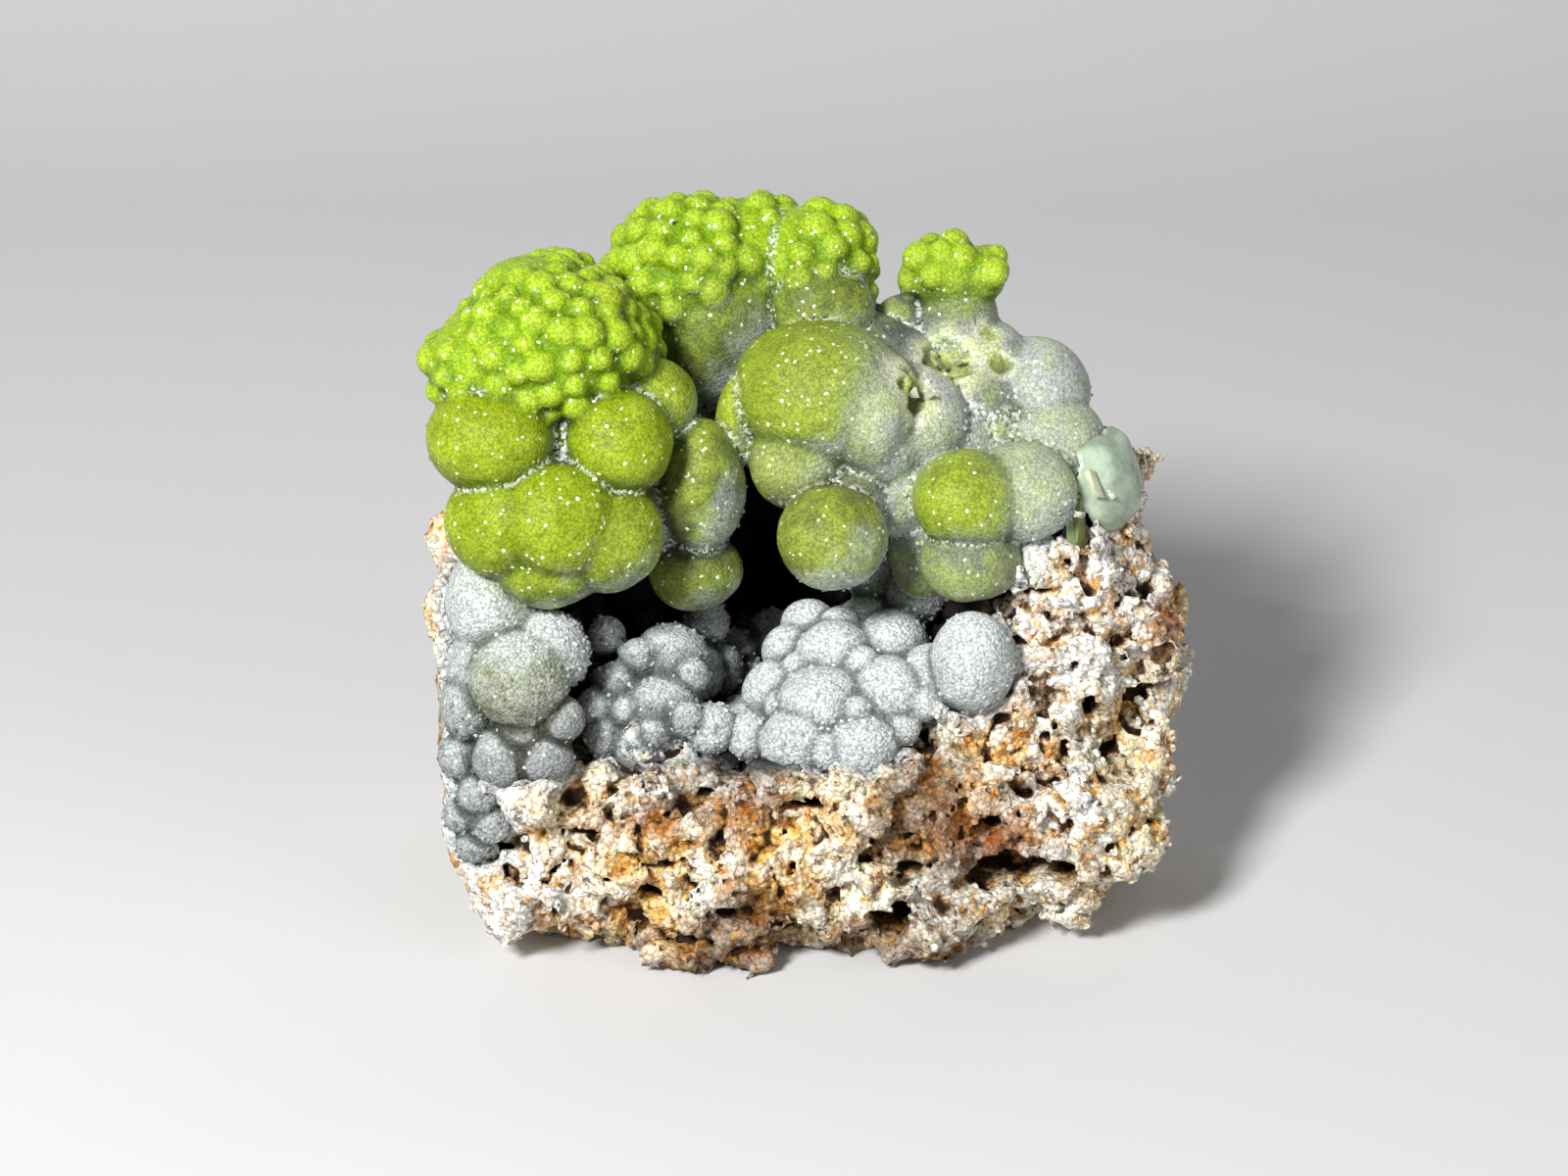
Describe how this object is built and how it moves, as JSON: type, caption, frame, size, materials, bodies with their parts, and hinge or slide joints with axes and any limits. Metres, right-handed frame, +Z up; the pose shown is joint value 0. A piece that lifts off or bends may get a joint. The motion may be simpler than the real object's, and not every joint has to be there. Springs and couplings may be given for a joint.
{
  "type": "pyromorphite specimen",
  "caption": "Botryoidal pyromorphite hand specimen: knobbly green and frosted grape-like masses over a vuggy, rusty quartz and limonite rock with an open hollow in its front.",
  "frame": {"origin": "middle of the flat foot that the rock rests on", "axes": "+Z up from the foot; +X along the width, to the right as seen from the front; the side with the hollow faces -Y"},
  "size_m": [0.0588, 0.0417, 0.0535],
  "materials": {
    "rock": "crumbly broken quartz and limonite, cream to orange-brown, full of dark pits, matt",
    "green_growth": "fine crystal druse, yellow-green on the crowns fading to olive and frosted grey, slightly waxy",
    "frosted_crust": "sugary white to blue-grey crystal frosting, matt with small sparkles"
  },
  "bodies": {
    "root": {"matrix": "rock", "pyromorphite": "green_growth", "vug_crust": "frosted_crust"}
  },
  "joints": []
}
